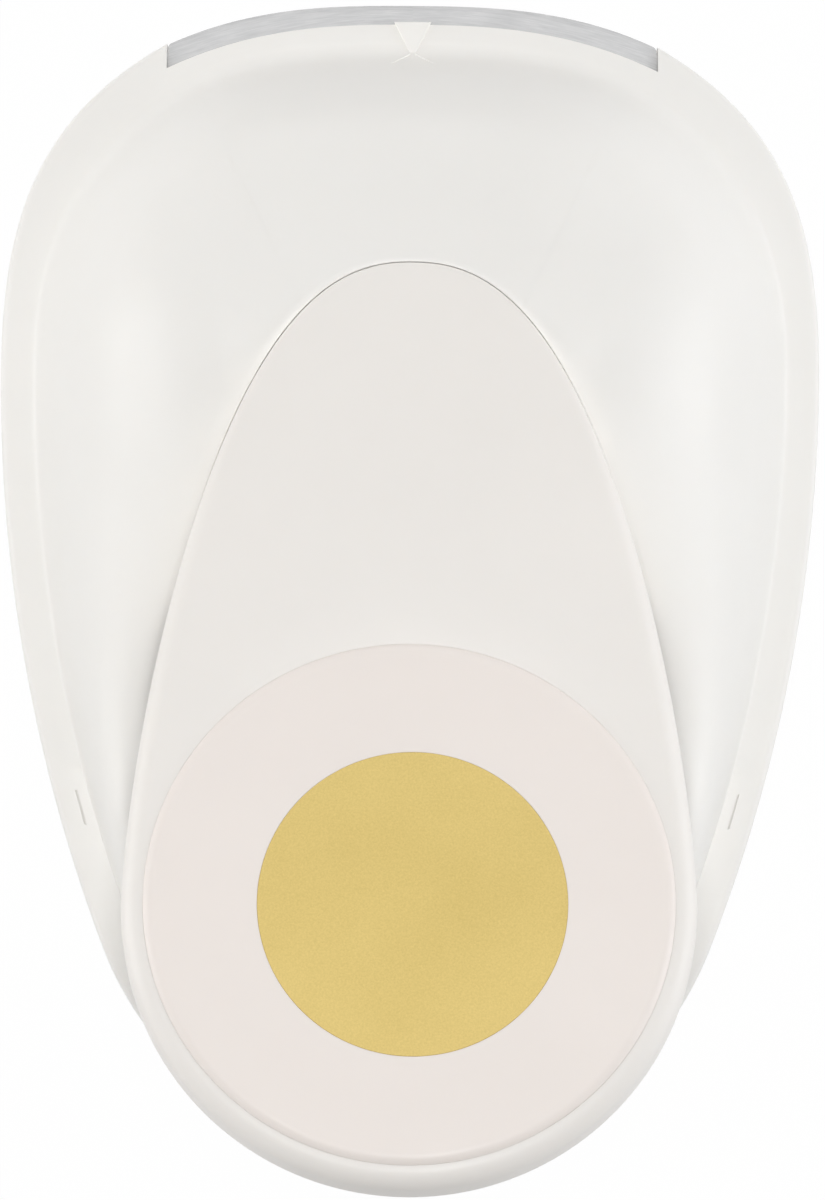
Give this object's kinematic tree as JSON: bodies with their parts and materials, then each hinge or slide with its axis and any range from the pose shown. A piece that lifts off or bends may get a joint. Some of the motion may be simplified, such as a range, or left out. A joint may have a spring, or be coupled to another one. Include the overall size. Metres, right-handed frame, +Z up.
{
  "type": "circle paper punch",
  "caption": "Desk lever punch that cuts a circle out of paper or card, with a domed white cover, a steel mouth and an egg-shaped lever with a round thumb pad.",
  "frame": {"origin": "on the table, under the middle of the whole object's plan", "axes": "+Z up, -Y towards the mouth that takes the paper, +Y towards the thumb pad, +X to the right of someone who faces the mouth"},
  "size_m": [0.1062, 0.1508, 0.0753],
  "materials": {
    "white_plastic": "satin moulded",
    "lever_plastic": "satin moulded",
    "base_plastic": "matt moulded",
    "plate_steel": "ground",
    "cutter_steel": "fine ground",
    "frame_steel": "zinc plated",
    "screw_steel": "plated",
    "spring_steel": "drawn",
    "carrier_alloy": "die cast",
    "gold_foil": "gold lacquered foil, fine grained"
  },
  "bodies": {
    "housing": {"base_housing": "base_plastic", "bottom_plate": "base_plastic", "upper_cover": "white_plastic", "die_plate": "plate_steel", "throat_spacer": "plate_steel", "guide_plate": "plate_steel", "guide_post_front_left": "cutter_steel", "guide_post_front_right": "cutter_steel", "guide_post_rear_left": "cutter_steel", "guide_post_rear_right": "cutter_steel", "return_spring_front_left": "spring_steel", "return_spring_front_right": "spring_steel", "return_spring_rear_left": "spring_steel", "return_spring_rear_right": "spring_steel", "pivot_bracket_left": "frame_steel", "pivot_bracket_right": "frame_steel", "bracket_screw_left_front": "screw_steel", "bracket_screw_left_rear": "screw_steel", "bracket_screw_right_front": "screw_steel", "bracket_screw_right_rear": "screw_steel", "pivot_pin": "screw_steel", "pivot_sleeve_left": "screw_steel", "pivot_sleeve_right": "screw_steel", "pin_clip_left": "spring_steel", "pin_clip_right": "spring_steel", "stack_screw_inner_left": "screw_steel", "stack_screw_inner_right": "screw_steel", "stack_screw_outer_left": "screw_steel", "stack_screw_outer_right": "screw_steel", "die_screw_left": "screw_steel", "die_screw_right": "screw_steel", "cover_screw_left": "screw_steel", "cover_screw_right": "screw_steel", "housing_screw_left": "screw_steel", "housing_screw_right": "screw_steel", "housing_screw_tail": "screw_steel", "bottom_screw_front_left": "screw_steel", "bottom_screw_front_right": "screw_steel", "bottom_screw_rear_left": "screw_steel", "bottom_screw_rear_right": "screw_steel"},
    "lever": {"lever_shell": "lever_plastic", "lever_frame": "frame_steel", "press_bar": "cutter_steel", "pad_cap": "lever_plastic", "size_disc": "gold_foil", "lever_screw_front_left": "screw_steel", "lever_screw_front_right": "screw_steel", "lever_screw_rear_left": "screw_steel", "lever_screw_rear_right": "screw_steel"},
    "cutter_block": {"cutter": "cutter_steel", "cutter_carrier": "carrier_alloy", "cutter_screw_front": "screw_steel", "cutter_screw_rear": "screw_steel"}
  },
  "joints": [
    {"name": "lever_pivot", "type": "hinge", "parent": "housing", "child": "lever", "pos_m": [0, -0.0549, 0.027], "axis": [-1, 0, 0], "range_deg": [0, 15], "stiffness_Nm_per_rad": 3.7, "springref_deg": -6.53},
    {"name": "cutter_slide", "type": "slide", "parent": "housing", "child": "cutter_block", "axis": [0, 0, -1], "range_m": [0, 0.0046], "deforming": ["return_spring_front_left", "return_spring_front_right", "return_spring_rear_left", "return_spring_rear_right"]}
  ],
  "couplings": [
    {"joint": "cutter_slide", "follows": "lever_pivot", "m_per_rad": 0.01757}
  ]
}
